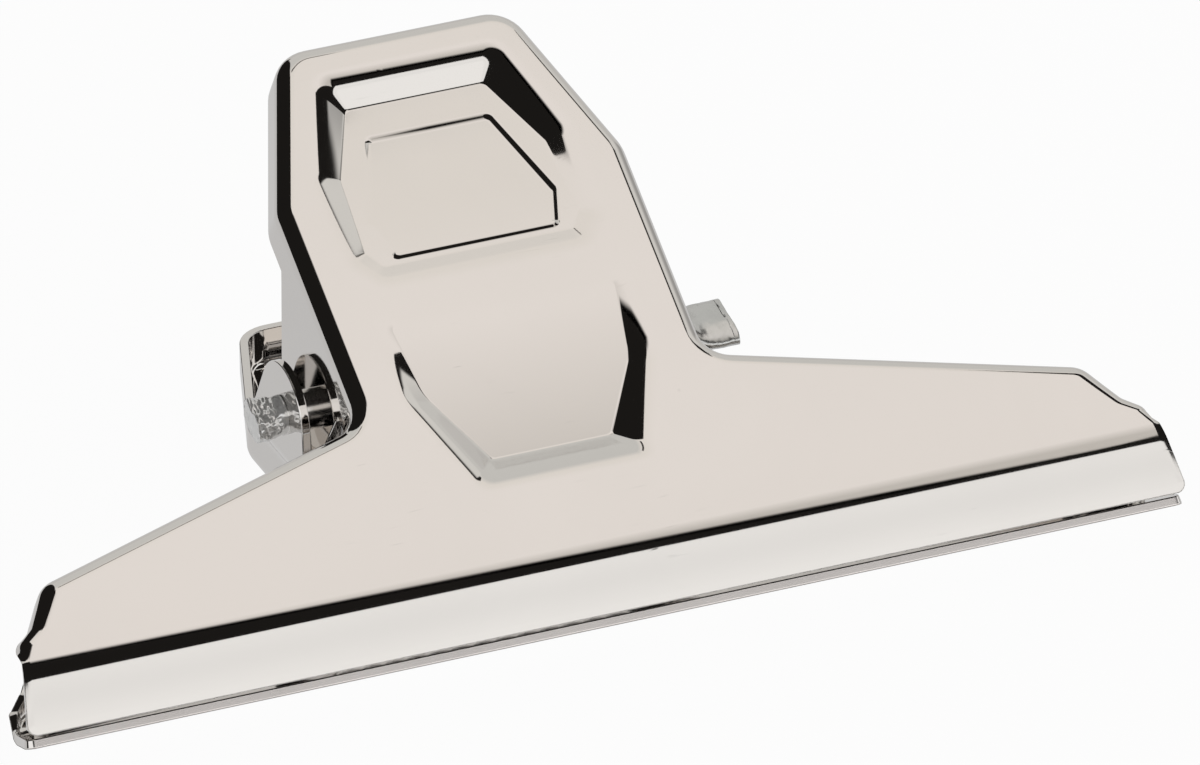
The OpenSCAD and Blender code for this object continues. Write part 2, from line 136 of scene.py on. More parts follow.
highY = lay["plateH"] - lineY * np.sin(faceA) + lineZ * np.cos(faceA)
bedZ = -lineY * np.cos(faceA) - lineZ * np.sin(faceA)
halfJaw, halfHandle, halfTop = lay["jawW"] / 2, lay["handleW"] / 2, lay["topW"] / 2
# Out of the face of the upright plate, whose points are x, rise and depth
faceWay = np.array([0.0, 0.0, -1.0])

# Bend of each stretch of the outline: its turn, the length of its arc and of its flange
rimArc = lay["bendR"] * np.pi / 2
edges = {"rim": (90, rimArc, lay["rimDepth"] - lay["bendR"]),
         "wing": (90, rimArc, lay["wingRimDepth"] - lay["bendR"]),
         "tab": (72, 1.6, 0.7), "notch": (84, 2.2, 1.2), "strip": (12, 0.5, 0.35)}

# How finely the plates are cut: rows along each stretch, and the longest gap between rows
steps = {"corner": 8, "jaw": 12, "rim": 12, "flange": 16, "joggle": 12, "ear": 36, "lowFlank": 7,
         "highFlank": 13, "bend": 14, "slope": 6, "pad": 6, "longest": 2.5}


def lyingWay(way):
    # turns directions of the upright clip about X, as it lies on its rear face
    y, z = way[..., 1], way[..., 2]
    return np.stack([way[..., 0], y * np.sin(faceA) + z * np.cos(faceA),
                     z * np.sin(faceA) - y * np.cos(faceA)], -1)


def lying(p):
    # turns points of the upright clip, y from the middle plane and z up from
    # the lips, about X until the rear face lies on the floor
    return lyingWay(p) + np.array([0, -(lowY + highY) / 2, bedZ])


def corner(before, here, after, count):
    # arc that touches the sides from before to here and from here to after. Each row
    # is x, rise, outward x, outward rise, then what the corner carries along.
    place, radius = np.array(here[:2], float), here[2]
    inWay = unit(place - np.array(before[:2], float))
    outWay = unit(np.array(after[:2], float) - place)
    side = 1 if inWay[0] * outWay[1] - inWay[1] * outWay[0] > 0 else -1
    turn = np.arccos(np.clip(inWay @ outWay, -1, 1))
    out = np.array([inWay[1], -inWay[0]])
    centre = place - inWay * radius * np.tan(turn / 2) - side * radius * out
    angle = side * turn * np.linspace(0, 1, count + 1)
    outward = np.stack([out[0] * np.cos(angle) - out[1] * np.sin(angle),
                        out[0] * np.sin(angle) + out[1] * np.cos(angle)], 1)
    carried = np.tile(np.array(here[3], float).reshape(1, -1), (count + 1, 1))
    return np.hstack([centre + side * radius * outward, outward, carried])


def corners(chain):
    # arcs at the inner places of a chain, where the first and last only give directions
    return np.vstack([corner(chain[i - 1], chain[i], chain[i + 1], steps["corner"])
                      for i in range(1, len(chain) - 1)])


def filled(rows, longest):
    # straight stretches get rows in between, no further apart than longest
    out = [rows[:1]]
    for before, here in zip(rows[:-1], rows[1:]):
        gaps = max(1, int(np.ceil(np.linalg.norm(here[:2] - before[:2]) / longest)))
        share = np.linspace(0, 1, gaps + 1)[1:, None]
        out.append(before * (1 - share) + here * share)
    rows = np.vstack(out)
    rows[:, 2:4] = unit(rows[:, 2:4])
    return rows


def mirrored(rows):
    # the same rows on the other side, in the opposite order
    rows = rows[::-1].copy()
    rows[:, 0] *= -1
    rows[:, 2] *= -1
    return rows


def flip(place):
    # one place of a chain, on the other side
    return (-place[0],) + tuple(place[1:])


def stripX(rise):
    # half width of the strip, which tapers evenly from the lip to the tab
    return halfJaw - lay["stripTaper"] * (rise - lipRise) / (lay["tabH"] - lipRise)


def earOutline():
    # height and depth of an ear: two straight flanks that touch a round end
    low = np.array([lay["junctionH"] + lay["junctionR"] + lay["earFoot"], lay["rimDepth"]])
    high = np.array([lay["kinkH"] - lay["earHead"], lay["rimDepth"]])
    axle = np.array([axleRise, axleDepth])

    def touch(foot, side):
        # where a line from foot touches the round end: the foot's own direction from
        # the axle, more or less the arc cosine of radius over distance
        away = foot - axle
        return np.arctan2(away[1], away[0]) + side * np.arccos(lay["earR"] / np.linalg.norm(away))

    angle = np.linspace(touch(low, -1) + 2 * np.pi, touch(high, 1), steps["ear"] + 1)
    end = axle + lay["earR"] * np.stack([np.cos(angle), np.sin(angle)], 1)
    upward = np.linspace(0, 1, steps["lowFlank"] + 1)[:-1, None]
    back = np.linspace(0, 1, steps["highFlank"] + 1)[:-1][::-1, None]
    return np.vstack([low + (end[0] - low) * upward, end, high + (end[-1] - high) * back])


def plateOutline():
    # the right half from lip to handle, then its mirror image. Each row is x, rise,
    # outward x, outward rise and the bend there. Also the number of the strip's last row.
    lip = (halfJaw, lipRise, lay["lipCornerR"], edges["strip"])
    tab = (halfJaw - lay["stripTaper"], lay["tabH"], lay["tabR"], edges["tab"])
    notch = (halfJaw - lay["notchInset"], lay["notchH"], lay["notchR"], edges["notch"])
    wing = (halfJaw - lay["wingInset"], lay["wingH"], lay["wingR"], edges["wing"])
    junction = (halfHandle, lay["junctionH"], lay["junctionR"], edges["rim"])
    kink = (halfHandle, lay["kinkH"], lay["kinkR"], edges["rim"])
    top = (halfTop, lay["plateH"], lay["topR"], edges["rim"])
    lipRows = corners([flip(lip), lip, tab])
    rise = jawRun - jawArc * np.linspace(1, 0, steps["jaw"] + 1)
    one = np.ones(len(rise))
    jawRows = np.stack([stripX(rise), rise, one, 0 * one] + [one * e for e in edges["strip"]], 1)
    wingRows = corners([lip, tab, notch, wing, junction, kink])
    ear = earOutline()
    one = np.ones(len(ear))
    earRows = np.stack([one * halfHandle, ear[:, 0], one, 0 * one, one * edges["rim"][0],
                        one * edges["rim"][1], ear[:, 1] - lay["bendR"]], 1)
    handleRows = corners([junction, kink, top, flip(top)])
    right = filled(np.vstack([lipRows, jawRows, wingRows, earRows, handleRows]), steps["longest"])
    middle = np.array([[0, lay["plateH"], 0, 1, *edges["rim"]]])
    whole = filled(np.vstack([right, middle]), steps["longest"])
    fromJaw = np.where(whole[:, 0] < halfJaw - lay["wingInset"], np.inf, np.abs(whole[:, 1] - jawRun))
    return np.vstack([whole, mirrored(whole[:-1])]), int(np.argmin(fromJaw))


# Recesses: a slope is where a floor starts and how deep it is there, the same where it
# ends, and the power of its curve between them. A wall is its run and its run per depth.
# padFoot, in outward rise, and padSunk, in x, are where each starts and over what it grows.
recess = {"margin": 4.1, "upperMargin": 3.1, "floorR": 0.6, "topBend": 0.56, "floorBend": 0.09,
          "thumbR": (3, 3.2, 5, 2.4), "thumbLow": 32.0, "thumbTop": 56.9, "thumbSideRise": 3.6,
          "thumbFootShare": 0.8, "shallow": 0.3, "thumbDepth": 2.2, "thumbCurve": 1.7,
          "thumbWall": (2.7, 0.65), "padR": 1.2, "padRun": (0.6, 0.95), "padStep": (0.16, 0.28),
          "padHalf": (0.485, 0.56, 0.37), "padRise": (0.125, 0.3, 0.71),
          "padFoot": (0.5, 0.35), "padSunk": (-9.6, 5.0),
          "panelR": (1.9, 8, 2.6), "panelLow": 8.3, "panelLowHalf": 9.3, "panelSide": 20.0,
          "panelSideInset": 0.4, "panelTop": 30.2, "panelDepth": 2.3, "panelCurve": 0.92,
          "panelWall": (2.0, 1.15), "panelSoft": (0.3, 1.1, 1.4)}


def handleHalf(rise):
    # half width of the handle above its kink
    share = (rise - lay["kinkH"]) / (lay["plateH"] - lay["kinkH"])
    return halfHandle + (halfTop - halfHandle) * share


def wholeChain(chain):
    # a half chain between the mirrored places of its ends
    return [flip(chain[0])] + list(chain) + [flip(chain[-1])]


def closedRing(chain):
    # ring of rows round a symmetrical outline, from the middle of its foot
    foot = np.array([[0, chain[0][1], 0, -1]])
    top = np.array([[0, chain[-1][1], 0, 1]])
    half = filled(np.vstack([foot, corners(wholeChain(chain)), top]), np.inf)
    return np.vstack([half, mirrored(half)[1:-1]])


def floorDepth(slope, rise):
    # start depth plus the whole fall times a power of the share of the way up or down
    share = np.maximum((rise - slope[0]) / (slope[2] - slope[0]), 0)
    return slope[1] + (slope[3] - slope[1]) * share ** slope[4]


def floorNormal(slope, rise, lean=0.0):
    # square to the floor's curve at each height, and leaning by lean as well
    step = 0.01
    fall = (floorDepth(slope, rise + step) - floorDepth(slope, rise - step)) / (2 * step) + lean
    return unit(np.stack([0 * fall, fall, -np.ones_like(fall)], -1))


def floorChain(chain, slope, wall):
    # corners of the floor: those of the chain, moved in by the run of the wall there,
    # which is along the sum of both sides' inward normals over 1 plus their cosine
    whole = wholeChain(chain)
    out = []
    for before, here, after in zip(whole[:-2], whole[1:-1], whole[2:]):
        place = np.array(here[:2])
        u, v = unit(place - np.array(before[:2])), unit(np.array(after[:2]) - place)
        deep = slope[1] + (slope[3] - slope[1]) * (here[1] - slope[0]) / (slope[2] - slope[0])
        run = wall[0] + wall[1] * max(0, deep)
        moved = run / (1 + u @ v)
        out.append((here[0] - (u[1] + v[1]) * moved, here[1] + (u[0] + v[0]) * moved,
                    max(recess["floorR"], here[2] - run), ()))
    return out


def ramp(share, low, high):
    # rises from 0 to 1 with a straight middle, and a round bend of share low at
    # its start and of share high at its end
    share = np.clip(share, 0, 1)
    start = share * share / (2 * low)
    middle = share - low / 2
    end = 1 - (low + high) / 2 - (1 - share) ** 2 / (2 * high)
    return (np.where(share < low, start, np.where(share > 1 - high, end, middle))
            / (1 - (low + high) / 2))


def wallRings(chain, slope, wall):
    # from the outline to the floor in straight plan lines, deeper by ramp
    outline, floor = closedRing(chain)[None], closedRing(floorChain(chain, slope, wall))[None]
    low, high = recess["topBend"], recess["floorBend"]
    share = np.concatenate([np.linspace(0, low, steps["bend"] + 1),
                            np.linspace(low, 1 - high, steps["slope"] + 1)[1:],
                            np.linspace(1 - high, 1, steps["slope"] + 1)[1:]])[:, None, None]
    plan = outline[..., :2] * (1 - share) + floor[..., :2] * share
    depth = floorDepth(slope, floor[..., 1:2]) * ramp(share, low, high)
    return np.concatenate([plan, depth], -1)


def padRings(chain, slope):
    # the pad stands above its floor at its foot and lies below it at its top and
    # on its right, and runs out on its left
    ring = closedRing(chain)[None]
    share = np.linspace(0, 1, steps["pad"] + 1)[:, None]
    foot = ease((-ring[..., 3] - recess["padFoot"][0]) / recess["padFoot"][1])
    sunk = ease((ring[..., 0] - recess["padSunk"][0]) / recess["padSunk"][1])
    run = recess["padRun"][0] * foot + recess["padRun"][1] * (1 - foot)
    x = ring[..., 0] - ring[..., 2] * run * share
    rise = ring[..., 1] - ring[..., 3] * run * share
    step = recess["padStep"][1] * sunk * (1 - foot) - recess["padStep"][0] * foot
    return np.stack([x, rise, floorDepth(slope, rise) + step * ease(share)], -1)


def thumbAndPad():
    # the thumb recess and the pad on its floor
    slope = (recess["thumbLow"], recess["shallow"], recess["thumbTop"], recess["thumbDepth"],
             recess["thumbCurve"])
    side = halfHandle - recess["margin"]
    radius = recess["thumbR"]
    kink = lay["kinkH"] + ((recess["margin"] - recess["upperMargin"])
                           * (lay["plateH"] - lay["kinkH"]) / (halfHandle - halfTop))
    chain = [(recess["thumbFootShare"] * side, recess["thumbLow"], radius[0], ()),
             (side, recess["thumbLow"] + recess["thumbSideRise"], radius[1], ()),
             (side, kink, radius[2], ()),
             (handleHalf(recess["thumbTop"]) - recess["upperMargin"], recess["thumbTop"], radius[3], ())]
    rise = [recess["thumbLow"] + share * (recess["thumbTop"] - recess["thumbLow"])
            for share in recess["padRise"]]
    padChain = [(share * halfHandle, at, recess["padR"], ()) for share, at in zip(recess["padHalf"], rise)]
    lean = sum(recess["padStep"]) / (rise[2] - rise[0])
    return slope, wallRings(chain, slope, recess["thumbWall"]), padRings(padChain, slope), lean


def panel():
    # the lower recess, whose floor starts in the face at its top
    slope = (recess["panelTop"] - recess["panelWall"][0], 0, recess["panelLow"], recess["panelDepth"],
             recess["panelCurve"])
    side = halfHandle - recess["margin"] - recess["panelSideInset"]
    radius = recess["panelR"]
    chain = [(recess["panelLowHalf"], recess["panelLow"], radius[0], ()),
             (side, recess["panelSide"], radius[1], ()), (side, recess["panelTop"], radius[2], ())]
    return slope, wallRings(chain, slope, recess["panelWall"])


def ringNormals(rings):
    # cross product of the slopes along the ring and across the rings
    along = np.roll(rings, -1, 1) - np.roll(rings, 1, 1)
    return unit(np.cross(along, np.gradient(rings, axis=0)))


def recessNormals(rings, first, last):
    # those of the rings, out of the face, with the given first and last rows
    ways = ringNormals(rings)
    if ways[..., 2].mean() > 0:
        ways = -ways
    ways[0], ways[-1] = first, last
    return ways


def rimRings(outline, joggle):
    # bend of the given turn and length round the outline, then a straight flange;
    # the ears are set out to the side by joggle as they get deeper
    turn, length, flange = outline[:, 4] * radians, outline[:, 5], outline[:, 6]
    radius = length / turn
    start, end = lay["rimDepth"] - lay["joggleLead"], axleDepth - lay["axleD"]
    # depths that the rows of a deep flange stop at, so that the joggle has enough rows
    limits = [*np.linspace(start, end, steps["joggle"]), end + lay["joggleTail"]]
    limits = np.array(limits + (steps["flange"] - len(limits)) * [np.inf])[:, None]
    share = np.linspace(0, 1, steps["flange"] + 1)[1:, None]
    past = np.vstack([np.zeros((steps["rim"] + 1, len(outline))),
                      np.minimum(flange * share, np.maximum(limits - lay["bendR"], 0))])
    part = np.minimum(np.arange(len(past)) / steps["rim"], 1)[:, None]
    angle = turn * part
    reach = radius * np.sin(turn) + flange * np.cos(turn)
    inset = reach - radius * np.sin(angle) - past * np.cos(turn)
    depth = radius * (1 - np.cos(angle)) + past * np.sin(turn)
    aside = joggle * ease((depth - start) / (end - start))
    x = outline[:, 0] - outline[:, 2] * (inset - aside)
    return np.stack([x, outline[:, 1] - outline[:, 3] * inset, depth], -1)


def bent(points, ways):
    # wraps rise below the jaw bend round its arc, then lays the plate in its place
    x, rise, depth = points.T
    radius = lay["jawBendR"]
    below = np.maximum(0, jawRun - rise)
    angle = np.minimum(jawTurn, below / radius)
    straight = np.maximum(0, below - jawArc)
    rise = np.where(below > 0, jawRun - (radius - depth) * np.sin(angle) - straight * np.cos(angle), rise)
    depth = np.where(below > 0, radius - (radius - depth) * np.cos(angle) + straight * np.sin(angle), depth)
    y = lineY + depth * np.cos(faceA) - rise * np.sin(faceA)
    z = lineZ + rise * np.cos(faceA) + depth * np.sin(faceA)
    # the strip is crowned by a degree or two, which only its normals show
    crown = 2 * straight / (lay["stripLen"] - jawRun) - angle / jawTurn
    angle = angle + lay["stripCrown"] * radians * crown
    up = ways[:, 1] * np.cos(angle) + ways[:, 2] * np.sin(angle)
    deep = ways[:, 2] * np.cos(angle) - ways[:, 1] * np.sin(angle)
    wayY = deep * np.cos(faceA) - up * np.sin(faceA)
    wayZ = up * np.cos(faceA) + deep * np.sin(faceA)
    return np.stack([x, y, z], 1), np.stack([ways[:, 0], wayY, wayZ], 1)


def flatFaces(points, rings):
    # fills the first ring of point numbers, less the others, in plan. The area is the
    # cross product of two sides, and slivers without area are left out.
    leastArea = 1e-9
    loops = [[Vector((x, rise, 0)) for x, rise in points[ring, :2]] for ring in rings]
    faces = np.concatenate(rings)[np.array(tessellate_polygon(loops))]
    at = points[faces][:, :, :2]
    u, v = at[:, 1] - at[:, 0], at[:, 2] - at[:, 0]
    area = u[:, 0] * v[:, 1] - v[:, 0] * u[:, 1]
    faces[area < 0] = faces[area < 0][:, ::-1]
    return faces[np.abs(area) > leastArea]


def roundedEdge(start, face, way):
    # rings round the free edge, from the outer to the inner face, with their normals:
    # how far each lies out past the start of the round, and how deep in the sheet
    radius, slant, sheet = lay["edgeR"], lay["edgeSlant"], lay["sheet"]
    side = radius * (1 - slant)
    places = ((radius * slant, side), (radius, radius), (radius, sheet - radius),
              (radius * slant, sheet - side))
    rings = [start + way * out - face * deep for out, deep in places]
    return rings, [unit(face + way), way, way, unit(way - face)]


def rimSurface(outline, joggle):
    # rings of the rim, their normals, and the way out of the sheet's edge, which is
    # square to the edge and lies within the sheet
    rim = rimRings(outline, joggle)
    ways = ringNormals(rim)
    if (ways[steps["rim"] // 2, :, :2] * outline[:, 2:4]).sum() < 0:
        ways = -ways
    ways[0] = faceWay
    edgeWay = unit(np.cross(np.roll(rim[-1], -1, 0) - np.roll(rim[-1], 1, 0), ways[-1]))
    if (edgeWay * (rim[-1] - rim[-2])).sum() < 0:
        edgeWay = -edgeWay
    # room for the round of the edge
    rim[-1] -= edgeWay * lay["edgeR"]
    return rim, ways, edgeWay


def recessSurfaces():
    # rings of the thumb recess, its pad and the lower recess, then the normals of each
    slope, thumb, pad, lean = thumbAndPad()
    thumbWays = recessNormals(thumb, faceWay, floorNormal(slope, thumb[-1, :, 1]))
    padWays = recessNormals(pad, floorNormal(slope, pad[0, :, 1]), floorNormal(slope, pad[-1, :, 1], lean))
    slope, lower = panel()
    # the lower floor's normals turn softly out of the face, from its top down
    down = (slope[0] - lower[-1, :, 1:2]) / (slope[0] - slope[2])
    base, more, most = recess["panelSoft"]
    soft = faceWay + (floorNormal(slope, lower[-1, :, 1]) - faceWay) * np.clip(base + more * down, 0, most)
    return [thumb, pad, lower], [thumbWays, padWays, recessNormals(lower, faceWay, unit(soft))]


def plateSurface(joggle, seam):
    # points, normals, faces and materials of a plate that stands upright in front. The
    # joggle sets its ears out, and seam has the bands of the lip's edge that get painted shade, dark where
    # the lips meet.
    outline, stripTop = plateOutline()
    count = len(outline)
    rim, rimWays, edgeWay = rimSurface(outline, joggle)
    recesses, recessWays = recessSurfaces()
    parts = [rim] + recesses
    at = np.concatenate([[0], np.cumsum([len(p) * p.shape[1] for p in parts])])
    points = np.vstack([p.reshape(-1, 3) for p in parts])
    ways = np.vstack([w.reshape(-1, 3) for w in [rimWays] + recessWays])

    def ring(part, level):
        # point numbers of one ring, counted from the last where level is negative
        size = parts[part].shape[1]
        return at[part] + level % len(parts[part]) * size + np.arange(size)

    i = np.arange(stripTop)
    sheet = [gridFaces(0, len(rim), count)[:, ::-1],
             np.stack([i, i + 1, count - 2 - i, count - 1 - i], 1),
             flatFaces(points, [np.arange(stripTop, count - stripTop), ring(1, 0), ring(3, 0)]),
             flatFaces(points, [ring(1, -1), ring(2, 0)]),
             flatFaces(points, [ring(2, -1)]), flatFaces(points, [ring(3, -1)])]
    sheet += [gridFaces(at[k], len(parts[k]), parts[k].shape[1]) for k in (1, 2, 3)]

    outer, outerWays = bent(points, ways)
    inner = outer - outerWays * lay["sheet"]
    size = len(points)
    last = ring(0, -1)
    bands, bandWays = roundedEdge(outer[last], outerWays[last], bent(points[last], edgeWay)[1])
    numbers = [last] + [2 * size + k * count + np.arange(count) for k in range(len(bands))] + [last + size]
    faces = [side for f in sheet for side in (f, f[:, ::-1] + size)]
    skin = np.zeros(sum(len(f) for f in faces), int)
    faces += [bandFaces(b, a) for a, b in zip(numbers[:-1], numbers[1:])]
    # bare metal on the cut edge of the lip, and painted shade on its bands in the seam where the lips meet
    atLip = outline[:, 1] < outline[:, 1].min() + lay["lipBand"]
    edge = [np.where(atLip, 2 if band in seam else 1, 0) for band in range(len(numbers) - 1)]
    which = np.concatenate([skin] + edge).astype(np.int32)
    return np.vstack([outer, inner] + bands), np.vstack([outerWays, -outerWays] + bandWays), faces, which


def plate(name, joggle, rear, body, node, materials, seam):
    # a plate in its place, where the rear one is the front one's mirror image in y
    points, ways, faces, which = plateSurface(joggle, seam)
    if rear:
        points, ways = points * (1, -1, 1), ways * (1, -1, 1)
    points, ways = lying(points), lyingWay(ways)
    faces = [orient(points, ways, group) for group in faces]
    piece = makePiece(name, points, faces, ways, body, materials, node, which)
    return piece


# Axle: reach to each end, and from the ears' outer faces on how far each end is widened,
# flattened and crumpled, left and right, over what share of the stub. A wave is the scale,
# the seed, the octaves and the height of a sum of sines.
pin = {"left": -23.5, "right": 26.6, "ear": halfHandle + lay["earGap"] + lay["sheet"], "free": 0.1,
       "rows": (60, 30, 80), "sides": 96, "neck": (0.3, 0.55), "widen": (0.62, 1.15),
       "flatten": (0.45, 0.95), "crumple": (0.85, 0.12), "fold": (1.15, 5, 4, 0.6),
       "ridge": (0.9, 9, 3, 0.3), "sink": 0.35, "chew": (0.8, 3, 3, 0.25), "tip": 0.9,
       "caps": (0.94, 0.8, 0.6, 0.35), "dome": 0.22, "pit": (1.6, 21, 3, 0.12)}


def waves(p, seed, octaves):
    # sum of sines along seeded random directions, each octave finer and smaller
    finer, smaller, perOctave, fullTurn = 2.2, 1.9, 5, 6.28
    rng = np.random.default_rng(seed)
    out = np.zeros(len(p))
    for octave in range(octaves):
        for _ in range(perOctave):
            way = unit(rng.normal(size=3)) * finer ** octave
            out += np.sin(p @ way + rng.uniform(0, fullTurn)) / smaller ** octave / perOctave
    return out


def axlePiece(materials):
    # round bar whose section flattens to an oval towards each end. Waves of the point's
    # place push its surface in and out there, and chew its tips.
    x = np.concatenate([np.linspace(pin["left"], -pin["ear"], pin["rows"][0]),
                        np.linspace(-pin["ear"], pin["ear"], pin["rows"][1])[1:-1],
                        np.linspace(pin["ear"], pin["right"], pin["rows"][2])])
    angle = np.linspace(0, 2 * np.pi, pin["sides"] + 1)[:-1]
    count = pin["sides"]

    def end(pair):
        return np.where(x < 0, pair[0], pair[1])

    stub = end((-pin["left"], pin["right"])) - pin["ear"] - pin["free"]
    past = np.maximum(np.abs(x) - pin["ear"] - pin["free"], 0) / stub
    neck = ease(past / end(pin["neck"]))
    wide = lay["axleD"] / 2 + end(pin["widen"]) * neck
    thin = lay["axleD"] / 2 - end(pin["flatten"]) * neck
    across, around = np.meshgrid(x, angle, indexing="ij")
    points = np.stack([across, np.sin(around) * thin[:, None], np.cos(around) * wide[:, None]],
                      -1).reshape(-1, 3)
    crushed, fromEar = np.repeat(neck, count), np.repeat(past, count)
    inward = np.where(points[:, 0] < 0, 1, -1)
    scale, seed, octaves, folds = pin["fold"]
    fold = waves(points * scale, seed, octaves) * folds
    scale, seed, octaves, ridges = pin["ridge"]
    ridge = (1 - 2 * np.abs(waves(points * scale, seed, octaves))) * ridges
    amount = crushed * np.where(inward > 0, pin["crumple"][0], pin["crumple"][1])
    points = points + unit(points * (0, 1, 1)) * ((fold + ridge - pin["sink"]) * amount)[:, None]
    scale, seed, octaves, deep = pin["chew"]
    chewed = deep * (1 + waves(points * scale, seed, octaves)) * (fromEar > pin["tip"])
    points[:, 0] += inward * crushed * chewed

    # each end is closed by smaller and smaller copies of its last ring, domed and pitted
    faces = [gridFaces(0, len(x), count)]
    scale, seed, octaves, deep = pin["pit"]
    for first, side in ((0, 1), ((len(x) - 1) * count, -1)):
        ring = points[first:first + count]
        middle = ring.mean(0)
        rows = [first + np.arange(count)]
        for share in pin["caps"]:
            cap = middle + (ring - middle) * share
            cap[:, 0] += -side * pin["dome"] * (1 - share) ** 0.5 + deep * waves(cap * scale, seed, octaves)
            rows.append(len(points) + np.arange(count))
            points = np.vstack([points, cap])
        caps = [bandFaces(a, b) for a, b in zip(rows[:-1], rows[1:])] + [rows[-1][None]]
        faces += [cap[:, ::-1] if side > 0 else cap for cap in caps]
    points[:, 0] = np.clip(points[:, 0], pin["left"], pin["right"])
    # plain wire between the ears, then the left and the right end
    at = points[np.concatenate([group[:, 0] for group in faces]), 0]
    which = np.where(np.abs(at) > pin["ear"] + pin["free"], np.where(at < 0, 1, 2), 0).astype(np.int32)
    points = lying(points + np.array([0, 0, lay["axleH"]]))
    piece = makePiece("axlePin", points, faces, None, "rear", materials, "axle", which)
    return piece


# Spring: its wire, turns, gaps and legs, and how finely its tube is cut
spring = {"wire": 1.8, "turns": 13, "clearance": 0.45, "endGap": 1.0, "legH": 40.0, "legGap": 0.25,
          "ringsPerTurn": 32, "sides": 14, "legRings": 12}


def springPiece(material):
    # helix round the axle between two straight legs, and a round wire carried along it
    wireR = spring["wire"] / 2
    coilR = lay["axleD"] / 2 + spring["clearance"] + wireR
    half = halfHandle - lay["sheet"] - spring["endGap"] - wireR
    depth = lay["sheet"] + spring["legGap"] + wireR
    tip = np.array([lineY + depth * np.cos(faceA) - spring["legH"] * np.sin(faceA),
                    lineZ + spring["legH"] * np.cos(faceA) + depth * np.sin(faceA) - lay["axleH"]])
    # the coil runs from where one leg touches it to the mirrored place of the other
    start = np.arctan2(tip[1], tip[0]) + np.arccos(coilR / np.linalg.norm(tip))
    sweep = 2 * np.pi * spring["turns"] + 2 * (1.5 * np.pi - start)
    share = np.linspace(0, 1, int(sweep / (2 * np.pi) * spring["ringsPerTurn"]) + 1)
    angle = start + sweep * share
    coil = np.stack([half * (2 * share - 1), coilR * np.cos(angle), coilR * np.sin(angle)], 1)
    along = np.linspace(0, 1, spring["legRings"] + 1)[:-1, None]
    first, last = np.array([-half, tip[0], tip[1]]), np.array([half, -tip[0], tip[1]])
    path = np.vstack([first + along * (coil[0] - first), coil, (last + along * (coil[-1] - last))[::-1]])
    # the tube's section lies square to the path: one axis nearest to X, one square to both
    way = unit(np.gradient(path, axis=0))
    u = unit(np.array([1.0, 0, 0]) - way[:, :1] * way)
    v = np.cross(way, u)
    turn = np.linspace(0, 2 * np.pi, spring["sides"] + 1)[:-1][None, :, None]
    points = path[:, None] + wireR * (u[:, None] * np.cos(turn) + v[:, None] * np.sin(turn))
    count = spring["sides"]
    tube = gridFaces(0, len(path), count)
    ends = [np.arange(count)[None, ::-1], (len(path) - 1) * count + np.arange(count)[None]]
    points = lying(points.reshape(-1, 3) + np.array([0, 0, lay["axleH"]]))
    piece = makePiece("torsionSpring", points, [tube] + ends, None, None, [material], "torsion_spring",
                      np.zeros(len(tube) + 2, np.int32))
    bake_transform(piece)
    return piece


# Materials
def feed(tree, node, inputs):
    # sets each input of a node, or links it where the value is another node's socket
    for key, value in inputs.items():
        if isinstance(value, bpy.types.NodeSocket):
            tree.links.new(value, node.inputs[key])
        else:
            node.inputs[key].default_value = value


def addNode(tree, kind, inputs=None, **settings):
    # settings come first, because some of them change which inputs there are
    node = tree.nodes.new(kind)
    for key, value in settings.items():
        setattr(node, key, value)
    feed(tree, node, inputs or {})
    return node


def times(tree, a, b):
    return addNode(tree, "ShaderNodeMath", {0: a, 1: b}, operation="MULTIPLY").outputs[0]


def blendColor(tree, share, a, b):
    # colour a at share 0 and b at 1, where each is a colour or a socket
    a, b = ((*c, 1) if isinstance(c, tuple) else c for c in (a, b))
    return addNode(tree, "ShaderNodeMix", {0: share, 6: a, 7: b}, data_type="RGBA").outputs[2]


# Scuffs: turn and narrowness of each set of scratches, and the range in which a noise shows
scuff = {"tilt": 0.55, "sets": ((0.5, 0.09), (1.9, 0.06), (2.7, 0.12)), "fine": 2600, "deep": 900,
         "scratch": (0.70, 0.80), "patchScale": 90.0, "patch": (0.5, 0.72),
         "smearScale": 35.0, "smear": (0.42, 0.8), "speckScale": 130.0, "speck": (0.05, 0.02)}


